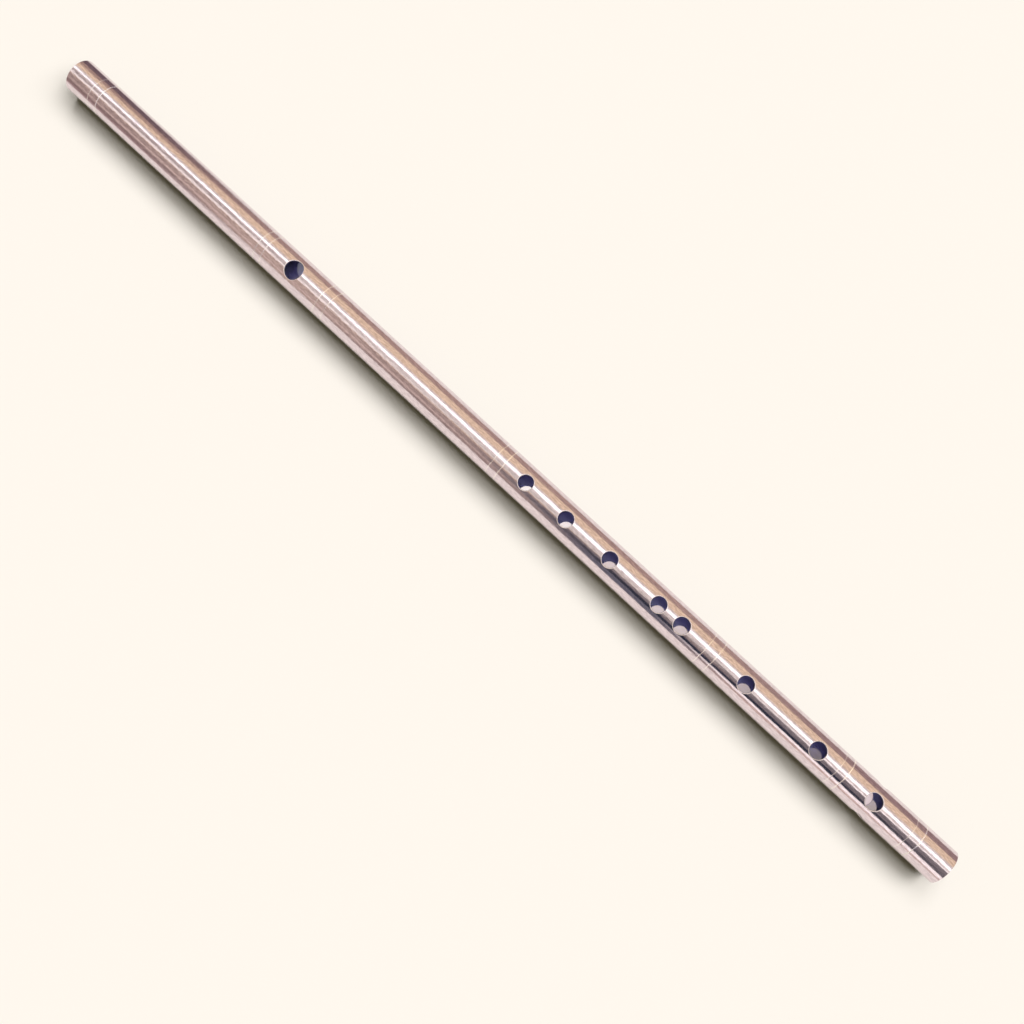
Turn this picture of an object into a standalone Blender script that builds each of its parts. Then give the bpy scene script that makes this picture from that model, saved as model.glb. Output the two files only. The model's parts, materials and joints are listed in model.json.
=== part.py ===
"""A keyless side-blown flute made from one length of drawn stainless steel tube.

The player blows across the embouchure near the head. The bore is closed just past it by a
stopper, a plain plug held by friction, which is pushed along with a rod to tune the flute.
Finger holes run along the top in one line, then a tuning hole, and then a vent where the tube
is drilled through from the top and from the side. Pairs of fine turned rings decorate the tube.

The tube lies along X with its head at -X. The holes face +Z, and the tube rests on z = 0.
Metres throughout.
"""

import math

import bpy
from mathutils import Euler, Matrix, Vector

MM = 0.001

# The tube's section. Its flat facets touch the round tube's circles, so these are sizes
# across flats, and one facet lies flat on the ground.
TUBE_OUTSIDE = 19.0 * MM
TUBE_WALL = 1.0 * MM
TUBE_FACETS = 32
END_CHAMFER = 0.25 * MM

# Distances along the tube, each from the last centre to the next.
HEAD_TO_EMBOUCHURE = 160.9 * MM
EMBOUCHURE_TO_FIRST_FINGER = 159.3 * MM
FINGER_STEPS = (26.5 * MM, 28.9 * MM, 31.7 * MM, 14.8 * MM, 40.7 * MM)
LAST_FINGER_TO_TUNING_HOLE = 45.0 * MM
TUNING_HOLE_TO_VENT = 34.4 * MM
VENT_TO_FOOT = 45.8 * MM

# The holes' diameters. The embouchure is a little wider across the tube than along it.
EMBOUCHURE_ALONG = 9.5 * MM
EMBOUCHURE_ACROSS = 10.2 * MM
FINGER_DIAMETERS = (7.8 * MM, 8.0 * MM, 8.0 * MM, 8.0 * MM, 8.4 * MM, 8.2 * MM)
TUNING_HOLE_DIAMETER = 8.4 * MM
VENT_DIAMETER = 8.4 * MM
VENT_SIDE_DIAMETER = 7.0 * MM
HOLE_SIDES = 32

# The turned rings: a V cut this wide and deep, in pairs. Each pair's centre is measured from
# the feature that it decorates, and each pair has its own spacing.
RING_WIDTH = 0.6 * MM
RING_DEPTH = 0.2 * MM
HEAD_RING_INSET = 18.9 * MM
HEAD_RING_SPACING = 6.0 * MM
EMBOUCHURE_RING_BEFORE = 20.6 * MM
EMBOUCHURE_RING_BEFORE_SPACING = 4.7 * MM
EMBOUCHURE_RING_AFTER = 22.5 * MM
EMBOUCHURE_RING_AFTER_SPACING = 5.8 * MM
FIRST_FINGER_RING_BEFORE = 16.6 * MM
FIRST_FINGER_RING_SPACING = 5.6 * MM
FIFTH_FINGER_RING_AFTER = 18.7 * MM
FIFTH_FINGER_RING_SPACING = 6.4 * MM
TUNING_RING_AFTER = 14.8 * MM
TUNING_RING_SPACING = 4.9 * MM
FOOT_RING_INSET = 21.4 * MM
FOOT_RING_SPACING = 5.6 * MM

# The stopper. Its face stands about one bore from the embouchure's centre. The clearance
# keeps the two solids apart where the real cork presses on the bore.
STOPPER_FACE_TO_EMBOUCHURE = 17.0 * MM
STOPPER_LENGTH = 15.0 * MM
STOPPER_CHAMFER = 0.8 * MM
STOPPER_CLEARANCE = 0.3 * MM

# A cutter reaches this far past the outside of the tube.
CUTTER_REACH = 4.0 * MM

SHARP_FROM = math.radians(30)

OUTER_RADIUS = TUBE_OUTSIDE / 2
BORE_RADIUS = OUTER_RADIUS - TUBE_WALL


def places_along_tube():
    """Distance from the head end to each feature's centre, and the tube's length."""
    embouchure = HEAD_TO_EMBOUCHURE
    fingers = [embouchure + EMBOUCHURE_TO_FIRST_FINGER]
    for step in FINGER_STEPS:
        fingers.append(fingers[-1] + step)
    tuning = fingers[-1] + LAST_FINGER_TO_TUNING_HOLE
    vent = tuning + TUNING_HOLE_TO_VENT
    return embouchure, fingers, tuning, vent, vent + VENT_TO_FOOT


EMBOUCHURE_AT, FINGERS_AT, TUNING_AT, VENT_AT, TUBE_LENGTH = places_along_tube()


def world(along, off_axis=(0.0, 0.0)):
    """The world point at a distance from the head end, and off the tube's axis in Y and Z."""
    return Vector((along - TUBE_LENGTH / 2, off_axis[0], OUTER_RADIUS + off_axis[1]))


def clear_scene():
    for thing in list(bpy.data.objects):
        bpy.data.objects.remove(thing, do_unlink=True)


def new_collection(name):
    collection = bpy.data.collections.new(name)
    bpy.context.scene.collection.children.link(collection)
    return collection


def principled(name, colour, metallic, roughness):
    material = bpy.data.materials.new(name)
    material.use_nodes = True
    shader = material.node_tree.nodes["Principled BSDF"]
    shader.inputs["Base Color"].default_value = (*colour, 1.0)
    shader.inputs["Metallic"].default_value = metallic
    shader.inputs["Roughness"].default_value = roughness
    return material


def turned(name, profile, hollow, facets, collection, material):
    """A turned solid from a profile of (radius, height) points that runs down its outer side.

    A hollow profile is a closed loop, and a solid one starts and ends on the axis. A facet
    touches its circle at its middle, half a facet round from the corner where it starts, so
    the profile starts at that corner, and flats and not corners face the ground.
    """
    half_facet = math.pi / facets
    points = [(radius, radius * math.tan(half_facet), height) for radius, height in profile]
    edges = [(i, i + 1) for i in range(len(points) - 1)]
    if hollow:
        edges.append((len(points) - 1, 0))
    mesh = bpy.data.meshes.new(name)
    mesh.from_pydata(points, edges, [])
    solid = bpy.data.objects.new(name, mesh)
    collection.objects.link(solid)
    screw = solid.modifiers.new("Turn", "SCREW")
    screw.axis = "Z"
    screw.angle = 2 * math.pi
    screw.steps = facets
    screw.render_steps = facets
    screw.use_merge_vertices = True
    screw.merge_threshold = 1e-6
    solid.data.materials.append(material)
    return solid


def lay_along_tube(solid, along):
    """Turns a piece made upright so that its height runs along +X, and puts it on the axis."""
    solid.rotation_euler = Euler((0.0, math.pi / 2, 0.0))
    solid.location = world(along)


def drill(name, along, size_along, size_across, sideways, through, collection):
    """A round or oval cutter that stands on Z, or lies along Y if it is sideways.

    It starts on the tube's axis and cuts the wall above it, or runs right through both walls.
    """
    reach = OUTER_RADIUS + CUTTER_REACH
    length = 2 * reach if through else reach
    bpy.ops.mesh.primitive_cylinder_add(vertices=HOLE_SIDES, radius=0.5, depth=length)
    cutter = bpy.context.object
    cutter.name = name
    cutter.data.transform(Matrix.Diagonal((size_along, size_across, 1.0, 1.0)))
    if sideways:
        cutter.rotation_euler = Euler((math.pi / 2, 0.0, 0.0))
    cutter.location = world(along) if through else world(along, (0.0, length / 2))
    for owner in list(cutter.users_collection):
        owner.objects.unlink(cutter)
    collection.objects.link(cutter)
    cutter.hide_render = True
    cutter.display_type = "WIRE"
    return cutter


def cut_away(solid, cutter):
    cut = solid.modifiers.new(cutter.name, "BOOLEAN")
    cut.operation = "DIFFERENCE"
    cut.solver = "EXACT"
    cut.object = cutter


def shade_round(solid):
    """Makes the modifiers' result the piece's own mesh, smooth but for its square edges."""
    shaped = solid.evaluated_get(bpy.context.evaluated_depsgraph_get())
    mesh = bpy.data.meshes.new_from_object(shaped)
    mesh.name = solid.name
    solid.modifiers.clear()
    solid.data = mesh
    mesh.shade_smooth()
    mesh.set_sharp_from_angle(angle=SHARP_FROM)


def ring_places():
    """Distance from the head end to each single ring, from the head to the foot."""
    pairs = (
        (HEAD_RING_INSET, HEAD_RING_SPACING),
        (EMBOUCHURE_AT - EMBOUCHURE_RING_BEFORE, EMBOUCHURE_RING_BEFORE_SPACING),
        (EMBOUCHURE_AT + EMBOUCHURE_RING_AFTER, EMBOUCHURE_RING_AFTER_SPACING),
        (FINGERS_AT[0] - FIRST_FINGER_RING_BEFORE, FIRST_FINGER_RING_SPACING),
        (FINGERS_AT[4] + FIFTH_FINGER_RING_AFTER, FIFTH_FINGER_RING_SPACING),
        (TUNING_AT + TUNING_RING_AFTER, TUNING_RING_SPACING),
        (TUBE_LENGTH - FOOT_RING_INSET, FOOT_RING_SPACING),
    )
    places = []
    for centre, spacing in pairs:
        places.append(centre - spacing / 2)
        places.append(centre + spacing / 2)
    return places


def make_tube(parts, cutters, steel):
    """The tube with its rings and broken edges, drilled for the breath, fingers and vent."""
    outside = [
        (OUTER_RADIUS - END_CHAMFER, TUBE_LENGTH),
        (OUTER_RADIUS, TUBE_LENGTH - END_CHAMFER),
    ]
    for place in reversed(ring_places()):
        outside.append((OUTER_RADIUS, place + RING_WIDTH / 2))
        outside.append((OUTER_RADIUS - RING_DEPTH, place))
        outside.append((OUTER_RADIUS, place - RING_WIDTH / 2))
    outside += [(OUTER_RADIUS, END_CHAMFER), (OUTER_RADIUS - END_CHAMFER, 0.0)]
    inside = [
        (BORE_RADIUS + END_CHAMFER, 0.0),
        (BORE_RADIUS, END_CHAMFER),
        (BORE_RADIUS, TUBE_LENGTH - END_CHAMFER),
        (BORE_RADIUS + END_CHAMFER, TUBE_LENGTH),
    ]
    tube = turned("flute_tube", outside + inside, True, TUBE_FACETS, parts, steel)
    lay_along_tube(tube, 0.0)

    # Each hole: name, place, size along and across the tube, from the side, through both walls.
    holes = [("embouchure", EMBOUCHURE_AT, EMBOUCHURE_ALONG, EMBOUCHURE_ACROSS, False, False)]
    for number, (place, size) in enumerate(zip(FINGERS_AT, FINGER_DIAMETERS), start=1):
        holes.append((f"finger_hole_{number}", place, size, size, False, False))
    size = TUNING_HOLE_DIAMETER
    holes.append(("tuning_hole", TUNING_AT, size, size, False, False))
    holes.append(("vent", VENT_AT, VENT_DIAMETER, VENT_DIAMETER, False, True))
    size = VENT_SIDE_DIAMETER
    holes.append(("side_vent", VENT_AT, size, size, True, True))
    for name, place, along, across, sideways, through in holes:
        cutter = drill(f"{name}_cutter", place, along, across, sideways, through, cutters)
        cut_away(tube, cutter)
    shade_round(tube)


def make_stopper(parts, cork):
    """A plug a little slimmer than the bore, with its face towards the embouchure."""
    radius = BORE_RADIUS - STOPPER_CLEARANCE
    profile = [
        (0.0, STOPPER_LENGTH),
        (radius - STOPPER_CHAMFER, STOPPER_LENGTH),
        (radius, STOPPER_LENGTH - STOPPER_CHAMFER),
        (radius, STOPPER_CHAMFER),
        (radius - STOPPER_CHAMFER, 0.0),
        (0.0, 0.0),
    ]
    stopper = turned("head_stopper", profile, False, TUBE_FACETS, parts, cork)
    lay_along_tube(stopper, EMBOUCHURE_AT - STOPPER_FACE_TO_EMBOUCHURE - STOPPER_LENGTH)
    shade_round(stopper)


def main():
    clear_scene()
    parts = new_collection("steel_flute")
    cutters = new_collection("cutters")
    cutters.hide_render = True
    steel = principled("polished_stainless_steel", (0.60, 0.57, 0.55), 1.0, 0.16)
    cork = principled("natural_cork", (0.47, 0.28, 0.14), 0.0, 0.85)
    make_tube(parts, cutters, steel)
    make_stopper(parts, cork)
    print(f"tube {TUBE_LENGTH * 1000:.1f} mm long, bore {2 * BORE_RADIUS * 1000:.1f} mm")


main()
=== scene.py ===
# %% [markdown]
# # A side-blown flute in polished stainless steel
# The real object is one length of drawn steel tube. A maker cuts it square, turns pairs of fine
# rings on it in a lathe, drills a row of holes, rounds their edges by hand and pushes a cork into
# the head. It has no keys.
#
# The frame holds its solids at real size: the tube, and the cork stopper that slides in it. They
# are faceted, so here each gets a fine surface in exactly the same place, and then its finish.
# Polished metal shows its surroundings more than itself, so the lamps and the cards round it are as
# much a part of the lesson as the tube.

# %% Load the frame
import json
import math

import bpy
import numpy as np
from mathutils import Matrix, Vector


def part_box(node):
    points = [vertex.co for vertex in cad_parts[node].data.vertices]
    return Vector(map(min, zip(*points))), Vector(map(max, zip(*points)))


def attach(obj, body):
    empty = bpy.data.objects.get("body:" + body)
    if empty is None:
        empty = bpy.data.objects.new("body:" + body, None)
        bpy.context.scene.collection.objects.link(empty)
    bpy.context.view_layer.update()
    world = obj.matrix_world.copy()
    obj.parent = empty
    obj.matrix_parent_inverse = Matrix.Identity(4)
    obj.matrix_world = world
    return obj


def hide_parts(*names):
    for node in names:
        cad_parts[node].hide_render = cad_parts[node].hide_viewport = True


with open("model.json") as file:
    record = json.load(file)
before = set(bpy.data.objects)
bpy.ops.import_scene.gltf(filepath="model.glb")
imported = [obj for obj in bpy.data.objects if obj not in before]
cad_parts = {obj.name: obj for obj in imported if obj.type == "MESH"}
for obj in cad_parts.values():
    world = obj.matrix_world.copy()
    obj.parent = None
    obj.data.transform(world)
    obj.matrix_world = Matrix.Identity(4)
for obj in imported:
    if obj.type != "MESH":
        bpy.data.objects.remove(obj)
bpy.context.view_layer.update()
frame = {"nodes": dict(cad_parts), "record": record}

MM = 0.001

# %% [markdown]
# ## Sizes
# The frame says where everything is. The tube's box gives its length and radius. The record's list
# of openings gives each hole's place along the tube, because each opening's box is centred on its
# hole. The turned rings are found on the solid itself, as the points that lie below the outside by
# a ring's depth. Only the wall and the widths of the holes are typed in.

# %% Sizes and places from the frame
tube_low, tube_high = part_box("flute_tube")
HEAD_X, FOOT_X = tube_low.x, tube_high.x
RADIUS = (tube_high.z - tube_low.z) / 2
AXIS_Z = tube_low.z + RADIUS
WALL = 1.0 * MM
BORE = RADIUS - WALL

# Each hole: its size along the tube and across it, and how far round from the top it is, in
# degrees.
HOLES = {
    "embouchure_hole": (9.5 * MM, 10.2 * MM, 0),
    "finger_hole_1": (7.8 * MM, 7.8 * MM, 0),
    "finger_hole_2": (8.0 * MM, 8.0 * MM, 0),
    "finger_hole_3": (8.0 * MM, 8.0 * MM, 0),
    "finger_hole_4": (8.0 * MM, 8.0 * MM, 0),
    "finger_hole_5": (8.4 * MM, 8.4 * MM, 0),
    "finger_hole_6": (8.2 * MM, 8.2 * MM, 0),
    "tuning_hole": (8.4 * MM, 8.4 * MM, 0),
    "vent_top": (8.4 * MM, 8.4 * MM, 0),
    "side_vent_left": (7.0 * MM, 7.0 * MM, 90),
    "vent_bottom": (8.4 * MM, 8.4 * MM, 180),
    "side_vent_right": (7.0 * MM, 7.0 * MM, 270),
}
openings = {o["name"]: np.array(o["box_m"]) for o in frame["record"]["physics"]["openings"]}
hole_x = {name: round(float(openings[name][:, 0].mean()), 6) for name in HOLES}

CAD_RING_DEPTH = 0.2 * MM
END_MARGIN = 2.0 * MM
solid = frame["nodes"]["flute_tube"].data
points = np.empty(len(solid.vertices) * 3)
solid.vertices.foreach_get("co", points)
points = points.reshape(-1, 3)
from_axis = np.hypot(points[:, 1], points[:, 2] - AXIS_Z)
in_ring = np.abs(from_axis - (RADIUS - CAD_RING_DEPTH)) < CAD_RING_DEPTH / 2
in_ring &= np.abs(points[:, 0]) < (FOOT_X - HEAD_X) / 2 - END_MARGIN
ring_x = np.unique(np.round(points[in_ring, 0], 5))
print(f"tube {(FOOT_X - HEAD_X) / MM:.1f} mm long, {2 * RADIUS / MM:.1f} mm thick, {len(ring_x)} rings")
print({name: round((x - HEAD_X) / MM, 1) for name, x in hole_x.items()})

# %% [markdown]
# ## The camera
# The photograph looks almost straight down on the flute from 54 cm, nearest to a point two thirds
# of the way along. The flute is turned a few degrees about its own axis, so the holes sit a little
# above the tube's middle in the picture. The camera's three directions are built from directions of
# the tube: along it, across it, and from its axis to the camera. That makes each number one that
# can be measured in the picture: ROLL is the turn about the tube's axis, SWING and TILT are how far
# the view leans along the tube and across it, and SLOPE is how steeply the tube runs down the
# picture.

# %% Camera
PICTURE_SIDE = 1024
FOCAL_PIXELS = 1087
SENSOR = 36.0
NEAREST_X = 85.5 * MM
CAMERA_DISTANCE = 536 * MM
ROLL = math.radians(3.85)
SWING = math.radians(5.91)
TILT = math.radians(1.57)
SLOPE = math.radians(42.52)

along = Vector((1, 0, 0))
to_camera = Vector((0, -math.sin(ROLL), math.cos(ROLL)))
across = Vector((0, math.cos(ROLL), math.sin(ROLL)))
level = -to_camera * math.cos(SWING) - along * math.sin(SWING)
forward = level * math.cos(TILT) - across * math.sin(TILT)
down_tube = along * math.cos(SWING) - to_camera * math.sin(SWING)
lower_left = -level * math.sin(TILT) - across * math.cos(TILT)
right = down_tube * math.cos(SLOPE) - lower_left * math.sin(SLOPE)
up = -down_tube * math.sin(SLOPE) - lower_left * math.cos(SLOPE)

camera_data = bpy.data.cameras.new("camera")
camera_data.sensor_width = SENSOR
camera_data.lens = SENSOR * FOCAL_PIXELS / PICTURE_SIDE
camera_data.clip_start = 0.01
camera = bpy.data.objects.new("camera", camera_data)
bpy.context.scene.collection.objects.link(camera)
turn = Matrix((right, up, -forward)).transposed().to_4x4()
camera_place = Vector((NEAREST_X, 0, AXIS_Z)) + to_camera * CAMERA_DISTANCE
camera.matrix_world = Matrix.Translation(camera_place) @ turn
bpy.context.scene.camera = camera
bpy.context.scene.view_settings.view_transform = "Standard"
print(f"camera {camera_data.lens:.1f} mm lens, at {[round(v, 3) for v in camera_place]}")


# %% [markdown]
# ## Colours and nodes
# Colours are written as sRGB hex values, the way they are seen on a screen. Shaders work in linear
# light, so one function converts them. A second one adds a shader node with its settings and links.
# A Mix node's sockets have the same names for numbers and for colours, so they are given by their
# place: 0 is the share, 2 and 3 are the two numbers, and 6 and 7 the two colours, which come out at
# 2.

# %% Colour and node helpers
def linear(colour):
    """sRGB hex to linear light: c / 12.92 up to c = 0.04045, and ((c + 0.055) / 1.055) ** 2.4 above it."""
    channels = [int(colour[i : i + 2], 16) / 255 for i in (1, 3, 5)]
    return (*[c / 12.92 if c <= 0.04045 else ((c + 0.055) / 1.055) ** 2.4 for c in channels], 1.0)


def add(tree, kind, settings=None, inputs=None):
    """Adds a shader node with its settings, and sets each of its inputs or links it to another's output."""
    made = tree.nodes.new("ShaderNode" + kind)
    for name, value in (settings or {}).items():
        setattr(made, name, value)
    for name, value in (inputs or {}).items():
        if isinstance(value, bpy.types.NodeSocket):
            tree.links.new(value, made.inputs[name])
        else:
            made.inputs[name].default_value = value
    return made


def new_material(name):
    """A material with an empty node tree but for its output, which is returned with it."""
    material = bpy.data.materials.new(name)
    material.use_nodes = True
    material.node_tree.nodes.clear()
    return material, material.node_tree, add(material.node_tree, "OutputMaterial")


# %% [markdown]
# ## Meshes from arrays
# Each surface is computed as whole arrays of points, and one function puts them into a mesh. A
# mirror finish shows every error in a normal, so the tube's normals come from the same formula as
# its points, and aren't averaged from the faces.

# %% Mesh helper
def make_piece(name, points, faces, normals=None, attributes=None):
    """An object at the origin from an array of points (n, 3), lists of the points round each face, and
    arrays with a normal and other values for each point."""
    mesh = bpy.data.meshes.new(name)
    mesh.from_pydata(points.tolist(), [], faces)
    mesh.polygons.foreach_set("use_smooth", np.ones(len(mesh.polygons), bool))
    for label, values in (attributes or {}).items():
        layer = mesh.attributes.new(label, "FLOAT", "POINT")
        layer.data.foreach_set("value", np.asarray(values, np.float32))
    mesh.update()
    if normals is not None:
        mesh.normals_split_custom_set_from_vertices(normals.tolist())
    made = bpy.data.objects.new(name, mesh)
    bpy.context.scene.collection.objects.link(made)
    return made


def sheet_of_quads(rows, columns):
    """Quads of an open grid of rows by columns points, stored row by row."""
    corner = np.arange(rows * columns).reshape(rows, columns)
    quads = [corner[:-1, :-1], corner[1:, :-1], corner[1:, 1:], corner[:-1, 1:]]
    return np.stack(quads, -1).reshape(-1, 4)


# %% [markdown]
# ## The floor and the light on it
# The flute lies on a plain warm white sheet. Its shadow is dark where the tube meets the sheet, has
# gone 15 mm further on, and fades out past both ends. That asks for long softboxes far away: a
# large one to the side away from the shadow, and a smaller one nearly overhead. A lamp of the kind
# called sun is a softbox at a great distance, whose width is the angle that the softbox fills. It
# is as wide one way as the other, so each long softbox is three of them side by side.
#
# All of these light only what the camera sees directly or in the metal, so no light comes back from
# the tube onto the sheet and the sheet keeps its plain colour. The metal doesn't mirror them: it
# mirrors the cards that come next.

# %% Floor, lamps and world
FLOOR_SIDE = 12.0
BACKGROUND = "#FFF8EE"
FLOOR_SHARE = 0.9

# Parts of the floor's light that come from the world, which is warm, and from the high softbox. The
# rest comes from the side softbox.
WORLD_PART, HIGH_PART = 0.085, 0.25
WORLD_COLOUR = np.array([1, 0.95, 0.6])

floor = make_piece(
    "floor",
    np.array([(-1, -1, 0), (1, -1, 0), (1, 1, 0), (-1, 1, 0)]) * FLOOR_SIDE / 2,
    [(0, 1, 2, 3)],
)
# Matt paper scatters light evenly. Its colour makes up for the world's warm part, so it renders as
# BACKGROUND.
paper, tree, out = new_material("warm_white_paper")
light_colour = 1 - WORLD_PART * (1 - WORLD_COLOUR)
shade = np.array(linear(BACKGROUND)[:3]) * FLOOR_SHARE / light_colour
shader = add(tree, "BsdfDiffuse", None, {"Color": (*shade, 1.0)})
tree.links.new(shader.outputs["BSDF"], out.inputs["Surface"])
floor.data.materials.append(paper)

# A floor of share s that gets an irradiance of pi / s renders in its full colour. From these wide
# lamps the open sheet came out about 5% too dark, and FLOOR_LIFT makes up for that.
FLOOR_LIFT = 1.055
full_light = FLOOR_LIFT * math.pi / FLOOR_SHARE


def reaches(tree, bounces):
    """A value that is 1 where the path from the camera was scattered fewer times than this, and 0 after."""
    path = add(tree, "LightPath")
    near = add(tree, "Math", {"operation": "LESS_THAN"}, {0: path.outputs["Diffuse Depth"], 1: bounces - 0.5})
    return near.outputs[0]


def add_lamp(name, kind, energy, colour, bounces, place, aim):
    """A lamp at a place that shines at another, isn't mirrored, and lights only after so few scatterings."""
    lamp = bpy.data.lights.new(name, kind)
    lamp.energy, lamp.color = energy, colour
    lamp.use_nodes = True
    lamp.node_tree.nodes.clear()
    light = add(lamp.node_tree, "Emission", None, {"Strength": reaches(lamp.node_tree, bounces)})
    add(lamp.node_tree, "OutputLight", None, {"Surface": light.outputs[0]})
    made = bpy.data.objects.new(name, lamp)
    made.location = place
    made.rotation_euler = (Vector(place) - Vector(aim)).to_track_quat("Z", "Y").to_euler()
    made.visible_glossy = False
    bpy.context.scene.collection.objects.link(made)
    return made


def add_sun(name, to_side, to_head, width, irradiance, colour, bounces):
    """A far softbox, given by its angles in degrees from straight up and the irradiance on a level floor.
    Towards it is (-tan(to_head), tan(to_side), 1), and a sun's own strength is across the light, E / cos."""
    source = Vector((-math.tan(math.radians(to_head)), math.tan(math.radians(to_side)), 1)).normalized()
    made = add_lamp(name, "SUN", irradiance / source.z, colour, bounces, source, (0, 0, 0))
    made.data.angle = math.radians(width)
    return made


side_light = full_light * (1 - WORLD_PART - HIGH_PART)

# Each softbox: degrees to the side, degrees wide. Its three lamps: name, degrees towards the head,
# part of its light.
WHITE = (1, 1, 1)
SIDE_ANGLE, SIDE_WIDTH = 36.8, 29
SIDE_LAMPS = [("side_foot", -42, 0.24), ("side_middle", -20, 0.44), ("side_head", 17, 0.32)]
HIGH_ANGLE, HIGH_WIDTH = 12.6, 20
HIGH_LAMPS = [("high_foot", -40, 0.40), ("high_middle", -18, 0.32), ("high_head", 8, 0.28)]
for name, to_head, part in SIDE_LAMPS:
    add_sun(name, SIDE_ANGLE, to_head, SIDE_WIDTH, side_light * part, WHITE, 1)
for name, to_head, part in HIGH_LAMPS:
    add_sun(name, HIGH_ANGLE, to_head, HIGH_WIDTH, full_light * HIGH_PART * part, WHITE, 1)

# The world lights with its small part, and looks like the background where the camera or the metal
# sees past all.
world = bpy.data.worlds.new("studio")
world.use_nodes = True
tree = world.node_tree
tree.nodes.clear()
path = add(tree, "LightPath")
dim = add(tree, "Background", None, {"Color": (*WORLD_COLOUR, 1), "Strength": WORLD_PART / FLOOR_SHARE})
seen = add(tree, "Background", None, {"Color": linear(BACKGROUND), "Strength": 1.0})
either = add(tree, "Math", {"operation": "MAXIMUM"},
             {0: path.outputs["Is Camera Ray"], 1: path.outputs["Is Glossy Ray"]})
shown = add(tree, "Math", {"operation": "MULTIPLY"}, {0: either.outputs[0], 1: reaches(tree, 1)})
mixed = add(tree, "MixShader", None, {0: shown.outputs[0], 1: dim.outputs[0], 2: seen.outputs[0]})
out = add(tree, "OutputWorld", None, {"Surface": mixed.outputs[0]})
bpy.context.scene.world = world
print(f"floor {FLOOR_SIDE:.0f} m, light on it {full_light:.2f} W per square metre")

# %% [markdown]
# ## Cards for the metal
# A photographer lights polished metal with cards and softboxes, and what the tube shows is their
# picture: long stripes, because a tube squeezes all that is round it into lines. Here each card is
# a strip of a cylinder round the tube's axis. Its place is the direction in which the metal sees
# it, as an angle from the camera's direction, positive towards +Y: a stripe for the angle a lies
# RADIUS * sin(a / 2) from the tube's middle line. Only the metal sees the cards, so they leave the
# floor's light alone, and each one's edges fade out.

# %% Cards
# How far the cards are from the tube's axis in metres, and by what part of that each one comes in
# front of the one before.
FAR, NEAR = 1.0, 0.028
CARD_STEP = 0.01
CARD_ROWS, CARD_COLUMNS = 2, 49


def add_card(name, order, distance, angles, tube_xs, colour, strength, soft_angle, soft_x):
    """A strip that the metal sees between two angles and from two places on the tube, at (r sin a, r cos a).
    A ray that leaves the tube at the angle a passes its axis at RADIUS sin(a / 2), so it meets the card
    a little off that angle. It also runs on along the tube, by the card's distance over the camera's.
    Four angles, two for the head end and two for the foot end, make a card whose edges aren't parallel."""
    radius = distance * (1 - CARD_STEP * order)
    low, high = np.resize(angles, (2, 2)).T[:, :, None]
    seen = np.radians(low + (high - low) * np.linspace(0, 1, CARD_COLUMNS))
    turn = seen - np.arcsin(RADIUS * np.sin(seen / 2) / radius) - ROLL
    spread = 1 + radius / CAMERA_DISTANCE
    xs = NEAREST_X + (np.array(tube_xs) - NEAREST_X) * spread
    grid = np.zeros((CARD_ROWS, CARD_COLUMNS, 3))
    grid[..., 0] = xs[:, None]
    grid[..., 1] = radius * np.sin(turn)
    grid[..., 2] = AXIS_Z + radius * np.cos(turn)
    share_x, share_angle = np.meshgrid((0.0, 1.0), np.linspace(0, 1, CARD_COLUMNS), indexing="ij")
    quads = sheet_of_quads(CARD_ROWS, CARD_COLUMNS).tolist()
    shares = {"share_x": share_x.ravel(), "share_angle": share_angle.ravel()}
    card = make_piece(name, grid.reshape(-1, 3), quads, None, shares)
    material, tree, out = new_material("card_" + name)
    fade = reaches(tree, 1)
    for label, soft, size in (("share_angle", soft_angle, float((high - low).mean())),
                              ("share_x", soft_x * spread, xs[1] - xs[0])):
        share = add(tree, "Attribute", {"attribute_name": label})
        middle = add(tree, "Math", {"operation": "SUBTRACT"}, {0: share.outputs["Fac"], 1: 0.5})
        off = add(tree, "Math", {"operation": "ABSOLUTE"}, {0: middle.outputs[0]})
        edge = add(tree, "MapRange", {"interpolation_type": "SMOOTHSTEP"}, {
            "Value": off.outputs[0], "From Min": 0.5, "From Max": 0.5 - min(0.5, soft / size)})
        fade = add(tree, "Math", {"operation": "MULTIPLY"}, {0: fade, 1: edge.outputs[0]}).outputs[0]
    clear = add(tree, "BsdfTransparent")
    light = add(tree, "Emission", None, {"Color": linear(colour), "Strength": strength})
    mixed = add(tree, "MixShader", None, {0: fade, 1: clear.outputs[0], 2: light.outputs[0]})
    tree.links.new(mixed.outputs[0], out.inputs["Surface"])
    material.cycles.emission_sampling = "NONE"
    card.data.materials.append(material)
    card.visible_camera = False
    card.visible_diffuse = False
    card.visible_shadow = False
    card.visible_transmission = False
    return card


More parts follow.
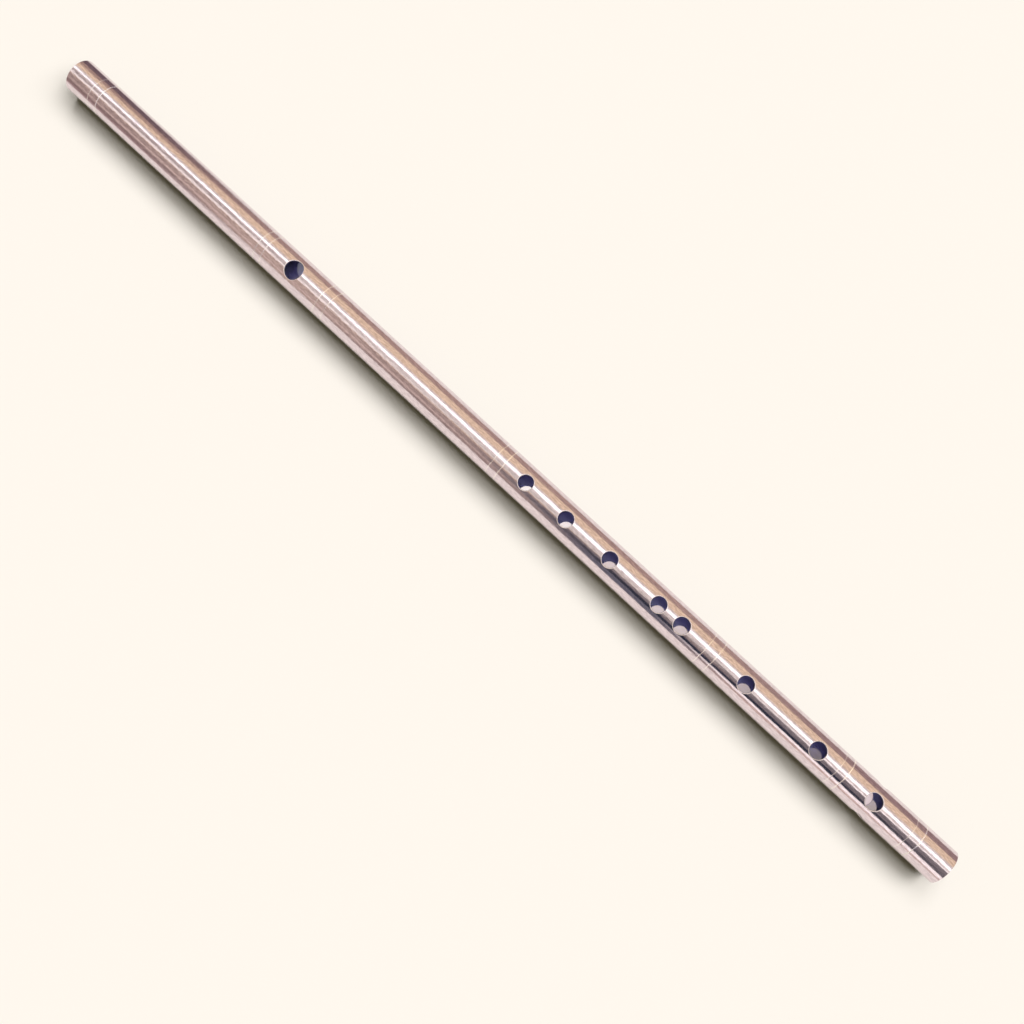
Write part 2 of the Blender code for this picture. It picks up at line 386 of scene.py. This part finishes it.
# Each card: name, distance, angles in degrees, places on the tube in metres, colour, strength, and
# how far its edges take to fade, in degrees and in metres. A later card hides the earlier ones. The
# long ones go 40 cm past the tube's ends.
PAST_HEAD, PAST_FOOT = HEAD_X - 0.4, FOOT_X + 0.4
CARDS = [
    ("warm_wall", FAR, (-70, 95), (PAST_HEAD, PAST_FOOT), "#F7DFBF", 1.0, 0.1, 0.05),
    ("pale_ceiling", FAR, (-25, 41), (PAST_HEAD, PAST_FOOT), "#F4EDE2", 0.92, 11, 0.05),
    ("dim_head_ceiling", FAR, (-9, 10), (PAST_HEAD, -0.07), "#BFB5AE", 1.0, 4, 0.15),
    ("head_strip", FAR, (-22, -6), (PAST_HEAD, 0.0), "#FFF9F0", 1.22, 4, 0.12),
    ("foot_line", FAR, (-9, -1), (0.13, PAST_FOOT), "#FFFDF8", 1.6, 3, 0.12),
    ("brown_curtain", FAR, (-78, -18), (PAST_HEAD, PAST_FOOT), "#B2A096", 1.0, 10, 0.05),
    ("curtain_gap", FAR, (-78, -24), (-0.25, -0.04), "#CBB8A9", 1.0, 8, 0.08),
    ("low_brown", FAR, (-92, -61), (PAST_HEAD, -0.13), "#97827D", 1.0, 7, 0.12),
    ("low_curtain", FAR, (-78, -61), (-0.13, 0.06), "#A8978F", 1.0, 6, 0.05),
    ("low_foot_card", FAR, (-82, -58), (0.13, PAST_FOOT), "#DBC5B8", 1.0, 7, 0.06),
    ("grey_flag", FAR, (-60, -31, -60, -3), (-0.02, 0.17), "#857F81", 1.0, 8, 0.06),
    ("grey_foot_flag", FAR, (-58, -6), (0.13, PAST_FOOT), "#857F81", 1.0, 8, 0.04),
    ("navy_flag", FAR, (-54, -29), (0.01, 0.33), "#2B3242", 1.0, 8, 0.10),
    ("low_navy", FAR, (-78, -46), (0.02, 0.17), "#6C6E7A", 1.0, 6, 0.06),
    ("line_light", FAR, (-61, -46), (-0.36, 0.07), "#E2CDC0", 1.0, 5, 0.14),
    ("foot_strip_light", FAR, (-58, -48, -90, -47), (0.115, 0.5), "#FFFAF4", 1.35, 5, 0.05),
    ("softbox_head", FAR, (18, 22.5, 4, 30.5), (-0.5, 0.035), "#FFFFFF", 2.0, 6, 0.03),
    ("softbox_foot", FAR, (4, 30.5, 9, 24), (0.005, 0.5), "#FFFFFF", 2.0, 6, 0.03),
    ("low_head_corner", NEAR, (-98, -78), (PAST_HEAD, -0.14), "#B7A19C", 1.0, 9, 0.10),
    ("mauve_low_card", NEAR, (70, 117), (PAST_HEAD, PAST_FOOT), "#BBA296", 1.0, 10, 0.05),
    ("head_corner_fade", NEAR, (50, 100), (PAST_HEAD, -0.16), "#B59C8E", 1.0, 20, 0.08),
    ("dark_head_corner", NEAR, (76, 131), (PAST_HEAD, -0.12), "#7A686C", 1.0, 14, 0.14),
    ("dark_foot_corner", NEAR, (71, 121), (0.12, PAST_FOOT), "#A58E8A", 1.0, 12, 0.12),
]
for order, (name, distance, *rest) in enumerate(CARDS):
    add_card(name, order, distance, *rest)
print(len(CARDS), "cards")

# %% [markdown]
# ## The shape of the tube
# The tube is one closed skin: down its outside from head to foot, round the foot's edge, back up
# the bore and round the head's edge. That closed line of (x, radius) is turned about the axis,
# which makes a grid of quads. Each turned ring is a shallow dip in the line. A whole array of rows
# and columns is made at once.

# %% The line that is turned
COLUMNS = 96
HOLE_ROWS = 16
HOLE_COLUMNS = 24
STEP = 6.0 * MM
END_EDGE = 0.35 * MM
EDGE_POINTS = 5
RING_WIDTH, RING_DEPTH = 0.6 * MM, 0.06 * MM
RING_ROWS = 8
RING_EDGE = 0.1 * RING_DEPTH

# How strong each ring's pale line is, from the head to the foot; the line is a painted highlight.
# In most pairs the second is the stronger.
RING_HIGHLIGHT = np.array((0.3, 1.0, 0.5, 0.5, 0.4, 0.28, 0.1, 0.18, 0.15, 0.22, 0.12, 0.45, 0.2, 0.8))

# The even rows round a hole reach MARGIN past its edge. Each place with a hole on top has its reach.
MARGIN = 2.2 * MM
top_sizes = {name: size_x for name, (size_x, _, degrees) in HOLES.items() if degrees == 0}
reach_at = {hole_x[name]: size_x / 2 + MARGIN for name, size_x in top_sizes.items()}


def outside_rows():
    """Rows along the outside, even over holes and rings and wide between them, and which belong to a ring."""
    spans = [(x - r, x + r, HOLE_ROWS, 0) for x, r in reach_at.items()]
    spans += [(x - RING_WIDTH / 2, x + RING_WIDTH / 2, RING_ROWS, 1) for x in ring_x]
    spans.append((FOOT_X - END_EDGE, FOOT_X - END_EDGE, 0, 0))
    rows, ringed = [np.array([HEAD_X + END_EDGE])], [np.zeros(1)]
    for start, end, cells, ring in sorted(spans):
        here = rows[-1][-1]
        between = np.linspace(here, start, max(1, math.ceil((start - here) / STEP)) + 1)[1:]
        rows += [between, np.linspace(start, end, cells + 1)[1:]]
        ringed += [np.zeros(len(between)), np.full(cells, ring)]
    return np.concatenate(rows), np.concatenate(ringed) > 0


def ring_dip(x):
    """Depth of the rings at x, and its slope: half of one plus a cosine across each ring's width."""
    off = x[:, None] - ring_x[None, :]
    near = np.abs(off) < RING_WIDTH / 2
    wave = 2 * math.pi * off / RING_WIDTH
    depth = np.where(near, RING_DEPTH * (1 + np.cos(wave)) / 2, 0).sum(1)
    slope = np.where(near, -RING_DEPTH * math.pi / RING_WIDTH * np.sin(wave), 0).sum(1)
    return depth, slope


def edge_arc(x_sign, r_sign, middle_x, middle_r, outwards):
    """A quarter circle round one edge, as x, radius and the normal in x and radius."""
    turn = np.linspace(0, math.pi / 2, EDGE_POINTS)
    if not outwards:
        turn = turn[::-1]
    n_x, n_r = x_sign * np.cos(turn), r_sign * np.sin(turn)
    return np.stack([middle_x + END_EDGE * n_x, middle_r + END_EDGE * n_r, n_x, n_r], 1)


out_x, out_ringed = outside_rows()
dip, slope = ring_dip(out_x)
ring_number = np.argmin(np.abs(out_x[:, None] - ring_x[None, :]), axis=1)
length = np.hypot(1, slope)
outside = np.stack([out_x, RADIUS - dip, slope / length, 1 / length], 1)
in_x = out_x[~out_ringed][::-1]
inside = np.stack([in_x, np.full_like(in_x, BORE), np.zeros_like(in_x), -np.ones_like(in_x)], 1)
head_out = edge_arc(-1, 1, HEAD_X + END_EDGE, RADIUS - END_EDGE, True)
foot_out = edge_arc(1, 1, FOOT_X - END_EDGE, RADIUS - END_EDGE, False)
foot_in = edge_arc(1, -1, FOOT_X - END_EDGE, BORE + END_EDGE, True)
head_in = edge_arc(-1, -1, HEAD_X + END_EDGE, BORE + END_EDGE, False)
line = np.concatenate([head_out[:-1], outside, foot_out[1:], foot_in[:-1], inside, head_in[1:]])
first_out = EDGE_POINTS - 1
first_in = first_out + len(outside) + 2 * (EDGE_POINTS - 1)
print(f"{len(line)} rows by {COLUMNS} columns")

# %% [markdown]
# ## Drilling the holes
# A drill leaves a straight wall, and a scraper then rounds its edges. Booleans would leave ragged
# faces that a mirror shows, so each hole is made as a sleeve of loops instead. A rectangle of quads
# is left out of the outside and of the bore. The sleeve starts on the rectangle outside, closes in
# to the hole's edge, rolls over into the wall, goes down, rolls out again and opens to the
# rectangle in the bore. All its loops have as many points as the rectangles, so it joins them
# without a seam.

# %% The sleeve of one hole
# The radii of a hole's two edges, and the loops of its sleeve from the outside to the bore: shares
# of the way in to the edge, phases of the roll into the wall and of the roll out of it, and shares
# of the way out to the bore's rectangle.
OUT_ROUND, IN_ROUND = 0.45 * MM, 0.15 * MM
CLOSING = np.linspace(0, 1, 7)[1:] ** 0.8
ROLLING = np.linspace(0, math.pi / 2, 7)[1:]
LEAVING = np.linspace(math.pi / 2, 0, 5)
OPENING = np.linspace(1, 0, 6)[1:-1]
line_angle = 2 * math.pi / COLUMNS


def rectangle(first_row, row_step, middle_column):
    """Grid numbers round a hole's rectangle, anticlockwise from outside, as rows and columns."""
    low, high = middle_column - HOLE_COLUMNS // 2, middle_column + HOLE_COLUMNS // 2
    rows = first_row + row_step * np.arange(HOLE_ROWS + 1)
    columns = np.arange(low, high + 1)
    row = np.concatenate([rows[:-1], np.full(HOLE_COLUMNS, rows[-1]), rows[:0:-1],
                          np.full(HOLE_COLUMNS, rows[0])])
    column = np.concatenate([np.full(HOLE_ROWS, low), columns[:-1], np.full(HOLE_ROWS, high),
                             columns[:0:-1]])
    return row, column


def on_round(radius, x, turn):
    """Points (x, r sin a, r cos a) on a cylinder about the axis, for the angle a from a hole's middle, and
    their normals (0, sin a, cos a)."""
    points = np.stack([x, radius * np.sin(turn), radius * np.cos(turn)], -1)
    normals = np.stack([np.zeros_like(x), np.sin(turn), np.cos(turn)], -1)
    return points, normals


def rolled(radius, facing, size_x, size_y, round_by, bearing, phase):
    """One loop of an edge with the radius e. It is e (1 - sin p) off the wall and e (1 - cos p) below the
    skin. As the phase p goes to a quarter turn, its normal turns from the skin's own to the hole's middle."""
    offset = round_by * (1 - math.sin(phase))
    x = (size_x / 2 + offset) * np.cos(bearing)
    side = (size_y / 2 + offset) * np.sin(bearing)
    height = np.sqrt(radius**2 - side**2)
    points = np.stack([x, side, height - facing * round_by * (1 - math.cos(phase))], -1)
    skin = facing * np.stack([np.zeros_like(x), side / radius, height / radius], -1)
    middle = -np.stack([np.cos(bearing) / size_x, np.sin(bearing) / size_y, np.zeros_like(x)], -1)
    middle /= np.linalg.norm(middle, axis=-1, keepdims=True)
    normals = skin * math.cos(phase) + middle * math.sin(phase)
    return points, normals / np.linalg.norm(normals, axis=-1, keepdims=True)


def sleeve(name, edge_x, edge_turn):
    """All loops of a hole between its two rectangles: points, normals, and values for cut_edge and bore."""
    size_x, size_y, _ = HOLES[name]
    bearing = np.arctan2(RADIUS * edge_turn, edge_x)
    loops = []
    rim_x = (size_x / 2 + OUT_ROUND) * np.cos(bearing)
    rim_turn = np.arcsin((size_y / 2 + OUT_ROUND) * np.sin(bearing) / RADIUS)
    for share in CLOSING:
        x, turn = edge_x + (rim_x - edge_x) * share, edge_turn + (rim_turn - edge_turn) * share
        loops.append((*on_round(RADIUS, x, turn), 0.0, 0.0))
    for phase in ROLLING:
        loops.append((*rolled(RADIUS, 1, size_x, size_y, OUT_ROUND, bearing, phase), 1.0, 0.0))
    for phase in LEAVING:
        loops.append((*rolled(BORE, -1, size_x, size_y, IN_ROUND, bearing, phase), 0.0, 1.0))
    mouth_x = (size_x / 2 + IN_ROUND) * np.cos(bearing)
    mouth_turn = np.arcsin((size_y / 2 + IN_ROUND) * np.sin(bearing) / BORE)
    for share in OPENING:
        x, turn = edge_x + (mouth_x - edge_x) * share, edge_turn + (mouth_turn - edge_turn) * share
        points, normals = on_round(BORE, x, turn)
        loops.append((points, -normals, 0.0, 1.0))
    return loops


def stand_up(local, degrees):
    """Turns (x, side, height) about the axis, so that height points at that angle from the top."""
    turn = math.radians(degrees)
    side, height = local[..., 1], local[..., 2]
    y = height * math.sin(turn) + side * math.cos(turn)
    z = height * math.cos(turn) - side * math.sin(turn)
    return np.stack([local[..., 0], y, z], -1)


# %% Build the tube
def build_tube():
    """The turned grid without its rectangles, and twelve sleeves that join them."""
    rows = len(line)
    turn = np.arange(COLUMNS) * line_angle
    x, r, n_x, n_r = (np.repeat(line[:, k : k + 1], COLUMNS, 1) for k in range(4))
    sin, cos = np.sin(turn)[None, :], np.cos(turn)[None, :]
    points = [np.stack([x, r * sin, r * cos], -1).reshape(-1, 3)]
    normals = [np.stack([n_x, n_r * sin, n_r * cos], -1).reshape(-1, 3)]
    bore = np.repeat((line[:, 1] < RADIUS - WALL / 2).astype(float), COLUMNS)
    cut, ring = np.ones(rows), np.zeros(rows)
    on_side = slice(first_out, first_out + len(out_x))
    cut[on_side] = dip > RING_EDGE
    cut[on_side.stop + EDGE_POINTS - 1 :] = 0
    ring[on_side] = cut[on_side] * RING_HIGHLIGHT[ring_number]
    attributes = {"bore": [bore], "cut_edge": [np.repeat(cut, COLUMNS)], "ring": [np.repeat(ring, COLUMNS)]}
    number = np.arange(rows * COLUMNS).reshape(rows, COLUMNS)
    after = np.roll(number, -1, 0)
    quads = np.stack([number, after, np.roll(after, -1, 1), np.roll(number, -1, 1)], -1)
    kept = np.ones((rows, COLUMNS), bool)
    faces = []
    count = rows * COLUMNS
    for name, (_, _, degrees) in HOLES.items():
        centre = hole_x[name]
        column = round(degrees / 360 * COLUMNS)
        start = first_out + int(np.argmin(np.abs(out_x - (centre - reach_at[centre]))))
        start_in = first_in + int(np.argmin(np.abs(in_x - (centre - reach_at[centre]))))
        row, side = rectangle(start, 1, column)
        row_in, side_in = rectangle(start_in, -1, column)
        taken = np.arange(column - HOLE_COLUMNS // 2, column + HOLE_COLUMNS // 2) % COLUMNS
        kept[np.ix_(range(start, start + HOLE_ROWS), taken)] = False
        kept[np.ix_(range(start_in - HOLE_ROWS, start_in), taken)] = False
        edge_turn = (side - column) * line_angle
        loops = sleeve(name, line[row, 0] - centre, edge_turn)
        around = len(row)
        ids = [number[row, side % COLUMNS]]
        for local, local_normal, edge, inner in loops:
            placed = stand_up(local, degrees)
            placed[:, 0] += centre
            points.append(placed)
            normals.append(stand_up(local_normal, degrees))
            attributes["bore"].append(np.full(around, inner))
            attributes["cut_edge"].append(np.full(around, edge))
            attributes["ring"].append(np.zeros(around))
            ids.append(count + np.arange(around))
            count += around
        ids.append(number[row_in, side_in % COLUMNS])
        loop = np.array(ids)
        onward = np.roll(loop, -1, 1)
        faces.append(np.stack([loop[:-1], onward[:-1], onward[1:], loop[1:]], -1).reshape(-1, 4))
    points = np.concatenate(points)
    points[:, 2] += AXIS_Z
    faces = np.concatenate([quads[kept], *faces]).tolist()
    flat = {label: np.concatenate(values) for label, values in attributes.items()}
    return make_piece("polished_tube", points, faces, np.concatenate(normals), flat)


tube = build_tube()
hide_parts("flute_tube")
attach(tube, "tube")
print(f"tube: {len(tube.data.vertices)} points, {2 * len(tube.data.polygons)} triangles")

# %% [markdown]
# ## Light in the bore
# Light goes many times round in a bore before it comes out, and the render follows only short
# paths. So lamps that light one object each stand in for it. Four small ones shine down through the
# holes and leave patches with sharp edges on the bottom of the bore: one for the whole row, one
# each for the first finger hole and the vent, which are brighter, and one for the embouchure. A
# narrow beam reaches the sheet that shows through the vent. A faint wide blue light fills the rest
# of the bore, which would be black without it. The polished outside mirrors none of them.

# %% Bore lamps
def light_only(lamp, made):
    """Lets a lamp light one object and no other."""
    lit = bpy.data.collections.new("lit_by_" + lamp.name)
    lit.objects.link(made)
    lamp.light_linking.receiver_collection = lit


def add_spot(name, watts, colour, place, aim_x, cone, blend, made, size=0.01):
    """A spot lamp for one object. Its cone is the beam's width in degrees, blend the soft part of its edge,
    and size the lamp's radius in metres."""
    lamp = add_lamp(name, "SPOT", watts, colour, 1, place, (aim_x, 0, RADIUS))
    lamp.data.spot_size, lamp.data.spot_blend = math.radians(cone), blend
    lamp.data.shadow_soft_size = size
    light_only(lamp, made)


# The patches are as warm as the light that gets in. The rest of the bore is a deep blue, from the
# blue fill light and from the bore's blue grey colour, which is painted shade. The patch lamps'
# places, in metres, decide where a patch lies in its hole.
WARM, GREENISH, CREAM, PINK, BLUE = (
    (1.0, 0.79, 0.47), (0.95, 1.0, 0.66), (1.0, 0.95, 0.70), (1.0, 0.85, 0.95), (0.42, 0.35, 0.84))
PATCH_PLACE, MOUTH_PLACE = (-0.147, 0.238, 1.45), (0.06, -0.49, 1.36)
row_x = 46 * MM
first_x, mouth_x, vent_x = (hole_x[name] for name in ("finger_hole_1", "embouchure_hole", "vent_top"))
add_spot("patch_lamp", 440, WARM, PATCH_PLACE, row_x, 15.5, 1.0, tube)
add_spot("first_patch_lamp", 195, GREENISH, PATCH_PLACE, first_x, 3.5, 1.0, tube)
add_spot("vent_patch_lamp", 290, WARM, PATCH_PLACE, vent_x, 2.0, 0.5, tube)
add_spot("mouth_patch_lamp", 80, CREAM, MOUTH_PLACE, mouth_x, 2.0, 0.5, tube)
add_spot("vent_floor_lamp", 9, PINK, tuple(camera_place), vent_x, 1.0, 0.3, floor, 0.002)
FILL_WIDTH, FILL_LIGHT, FILL_SCATTERINGS = 58, 4.5, 3
fill_lamp = add_sun("fill_lamp", 0, 0, FILL_WIDTH, FILL_LIGHT, BLUE, FILL_SCATTERINGS)
light_only(fill_lamp, tube)
print(len(bpy.data.lights), "lamps in all")

# %% [markdown]
# ## The steel
# Polished drawn stainless steel is a metal, so it has no colour of its own under the gloss: the
# base colour tints what it mirrors, here a faint pink grey. Drawing and polishing leave fine lines
# along the tube and a slight waviness, which fray the edges of the stripes. The bore isn't
# polished, and is duller; its darker blue grey is painted shade. Scraped edges are duller than the
# polish, and their paler colour is a painted highlight. The turned rings are rougher too, and their
# pale lines, each of its own strength, are painted highlights in the colour.

# %% Steel material
# Repeats per metre along the tube and across it: lines 2.4 mm long and 0.7 mm wide, and waves 8 mm
# long and 1.4 mm wide. Real polishing lines are too fine to show here, so these are as coarse as
# they have to be to show.
LINE_REPEATS, LINE_DEPTH = (420, 1500, 1500), 0.035 * MM
WAVE_REPEATS, WAVE_DEPTH = (120, 700, 700), 0.022 * MM

# The lines are at their full depth towards the head, and at half of it past the middle.
WORN_FROM, WORN_TO = -100 * MM, 50 * MM

# Roughness of the polish, of a scraped edge and of the bore, and how far a ring and the bore are
# still metal.
POLISH_LOW, POLISH_HIGH, SCRAPED_ROUGH, BORE_ROUGH = 0.08, 0.16, 0.24, 0.45
RING_METAL, BORE_METAL = 0.8, 0.5

# The span that the noise mostly stays in.
NOISE_LOW, NOISE_HIGH = 0.3, 0.7

steel, tree, out = new_material("polished_drawn_stainless_steel")
place = add(tree, "TexCoord")
along = add(tree, "SeparateXYZ", None, {0: place.outputs["Object"]})
worn = add(tree, "MapRange", None, {"Value": along.outputs["X"], "From Min": WORN_FROM, "From Max": WORN_TO,
                                    "To Min": 1.0, "To Max": 0.5})
lines = add(tree, "Mapping", None, {"Vector": place.outputs["Object"], "Scale": LINE_REPEATS})
line_noise = add(tree, "TexNoise", None, {"Vector": lines.outputs[0], "Scale": 1.0, "Detail": 2.0})
waves = add(tree, "Mapping", None, {"Vector": place.outputs["Object"], "Scale": WAVE_REPEATS})
wave_noise = add(tree, "TexNoise", None, {"Vector": waves.outputs[0], "Scale": 1.0, "Detail": 2.0})
bore = add(tree, "Attribute", {"attribute_name": "bore"})
cut = add(tree, "Attribute", {"attribute_name": "cut_edge"})
ring = add(tree, "Attribute", {"attribute_name": "ring"})
spots = add(tree, "MapRange", None, {"Value": line_noise.outputs["Fac"],
                                     "From Min": NOISE_LOW, "From Max": NOISE_HIGH})
cloudy = add(tree, "Mix", {"data_type": "RGBA"},
             {0: spots.outputs[0], 6: linear("#CEC0C6"), 7: linear("#EEE0E6")})
# The bore's darker blue grey is painted shade: it stands for the deep blue dark inside the holes.
tint_and_bore_shade = add(tree, "Mix", {"data_type": "RGBA"},
           {0: bore.outputs["Fac"], 6: cloudy.outputs[2], 7: linear("#8C8EA8")})
# The pale colour of the hole rims, the tube's end edges and the rings is a painted highlight; these edges are
# also rougher.
painted_edge_highlight = add(tree, "Mix", {"data_type": "RGBA"},
             {0: cut.outputs["Fac"], 6: tint_and_bore_shade.outputs[2], 7: linear("#EEE4E5")})
# The rings' cream colour, on a ring that is also less metal so that the lamps light it, is a painted
# highlight that draws each ring as a pale line.
colour_with_ring_highlight = add(tree, "Mix", {"data_type": "RGBA"},
              {0: ring.outputs["Fac"], 6: painted_edge_highlight.outputs[2], 7: linear("#F3EDDF")})
rough = add(tree, "MapRange", None, {"Value": wave_noise.outputs["Fac"],
                                     "To Min": POLISH_LOW, "To Max": POLISH_HIGH})
edges = add(tree, "Mix", None, {0: cut.outputs["Fac"], 2: rough.outputs[0], 3: SCRAPED_ROUGH})
dull = add(tree, "Mix", None, {0: bore.outputs["Fac"], 2: edges.outputs[0], 3: BORE_ROUGH})
fine = add(tree, "Bump", None, {"Height": line_noise.outputs["Fac"], "Strength": worn.outputs[0],
                                "Distance": LINE_DEPTH})
wavy = add(tree, "Bump", None, {"Height": wave_noise.outputs["Fac"], "Strength": 1.0,
                                "Distance": WAVE_DEPTH, "Normal": fine.outputs[0]})
bore_metal = add(tree, "MapRange", None, {"Value": bore.outputs["Fac"], "To Min": 1.0, "To Max": BORE_METAL})
metal = add(tree, "Mix", None, {0: ring.outputs["Fac"], 2: bore_metal.outputs[0], 3: RING_METAL})
shader = add(tree, "BsdfPrincipled", None, {
    "Base Color": colour_with_ring_highlight.outputs[2], "Metallic": metal.outputs[0], "Roughness": dull.outputs[0],
    "Normal": wavy.outputs[0]})
tree.links.new(shader.outputs[0], out.inputs["Surface"])
tube.data.materials.append(steel)
print(steel.name, "with", len(tree.nodes), "nodes")

# %% [markdown]
# ## The stopper
# The stopper is a plug cut from cork and sanded round, pushed in from the head. It is turned from a
# line as the tube is, with rounded ends. Each point then moves in a little by a sum of slow waves,
# because cork is never quite true, and pores sink into the surface.

# %% Build the stopper
stopper_low, stopper_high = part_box("head_stopper")
PLUG_RADIUS = 8.4 * MM
PLUG_EDGE = 0.7 * MM
PLUG_COLUMNS = 96
PLUG_SIDE_ROWS, PLUG_FACE_ROWS, PLUG_EDGE_ROWS = 40, 20, 5
PORE_DEPTH = 0.05 * MM
LEAST_RADIUS = 0.1 * MM


def pore_waves(x, turn):
    """Two crossed waves plus a bent one, in x and the angle. Along x they are 3 to 21 mm long."""
    crossed = np.sin(900 * x + 5 * turn) * np.sin(7 * turn + 300 * x)
    bent = np.sin(2100 * x - 11 * turn + 3 * np.sin(3 * turn))
    return crossed + bent


def build_stopper():
    """A line turned about the axis: (x, r sin a, r cos a). It runs from one face's middle over the side to
    the other's, and pores take a little off its radius."""
    face = np.linspace(0, PLUG_RADIUS - PLUG_EDGE, PLUG_FACE_ROWS + 1)[1:]
    arc = np.linspace(0, math.pi / 2, PLUG_EDGE_ROWS + 1)[1:]
    side = np.linspace(stopper_low.x + PLUG_EDGE, stopper_high.x - PLUG_EDGE, PLUG_SIDE_ROWS + 1)[1:-1]
    x = np.concatenate([
        np.full(len(face), stopper_low.x),
        stopper_low.x + PLUG_EDGE * (1 - np.cos(arc)),
        side,
        stopper_high.x - PLUG_EDGE * (1 - np.cos(arc[::-1])),
        np.full(len(face), stopper_high.x),
    ])
    r = np.concatenate([
        face,
        PLUG_RADIUS - PLUG_EDGE + PLUG_EDGE * np.sin(arc),
        np.full(len(side), PLUG_RADIUS),
        PLUG_RADIUS - PLUG_EDGE + PLUG_EDGE * np.sin(arc[::-1]),
        face[::-1],
    ])
    turn = np.arange(PLUG_COLUMNS) * 2 * math.pi / PLUG_COLUMNS
    sin, cos = np.sin(turn)[None, :], np.cos(turn)[None, :]
    depth = PORE_DEPTH * np.clip(pore_waves(x[:, None], turn), 0, None)
    radius = np.clip(r[:, None] - depth, LEAST_RADIUS, None)
    grid = np.stack([np.repeat(x[:, None], PLUG_COLUMNS, 1), radius * sin, AXIS_Z + radius * cos], -1)
    rows = len(x)
    number = np.arange(rows * PLUG_COLUMNS).reshape(rows, PLUG_COLUMNS)
    onward = np.roll(number, -1, 1)
    quads = np.stack([number[:-1], number[1:], onward[1:], onward[:-1]], -1).reshape(-1, 4)
    middles = np.array([(stopper_low.x, 0, AXIS_Z), (stopper_high.x, 0, AXIS_Z)])
    near, far = rows * PLUG_COLUMNS, rows * PLUG_COLUMNS + 1
    fans = [(near, int(a), int(b)) for a, b in zip(number[0], onward[0])]
    fans += [(far, int(b), int(a)) for a, b in zip(number[-1], onward[-1])]
    return make_piece("cork_stopper", np.concatenate([grid.reshape(-1, 3), middles]), quads.tolist() + fans)


stopper = build_stopper()
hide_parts("head_stopper")
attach(stopper, "stopper")
print(f"stopper: {len(stopper.data.vertices)} points, {len(stopper.data.polygons)} faces")

# %% [markdown]
# ## The cork
# Natural cork is sawn and sanded bark. It is matt and warm brown, mottled in grains of a few
# millimetres, with darker pores.

# %% Cork material
# Cells per metre: pores 1.7 mm apart and mottling 2.9 mm across.
PORE_CELLS, MOTTLE_CELLS = 600.0, 350.0
PORE_DENT = 0.15 * MM
cork, tree, out = new_material("sanded_natural_cork")
place = add(tree, "TexCoord")
grain = add(tree, "TexVoronoi", None, {"Vector": place.outputs["Object"], "Scale": PORE_CELLS})
mottle = add(tree, "TexNoise", None, {"Vector": place.outputs["Object"], "Scale": MOTTLE_CELLS,
                                      "Detail": 4.0})
blend = add(tree, "Mix", {"data_type": "RGBA"},
            {0: mottle.outputs["Fac"], 6: linear("#A9794A"), 7: linear("#D3A671")})
pore = add(tree, "MapRange", None, {"Value": grain.outputs["Distance"], "From Min": 0.1, "From Max": 0.3})
dark = add(tree, "Mix", {"data_type": "RGBA"},
           {0: pore.outputs[0], 6: linear("#5C3A20"), 7: blend.outputs[2]})
dent = add(tree, "Bump", None, {"Height": pore.outputs[0], "Strength": 0.6, "Distance": PORE_DENT})
rough = add(tree, "MapRange", None, {"Value": mottle.outputs["Fac"], "To Min": 0.8, "To Max": 0.95})
shader = add(tree, "BsdfPrincipled", None, {
    "Base Color": dark.outputs[2], "Roughness": rough.outputs[0], "Normal": dent.outputs[0]})
tree.links.new(shader.outputs[0], out.inputs["Surface"])
stopper.data.materials.append(cork)
print(cork.name, "with", len(tree.nodes), "nodes")
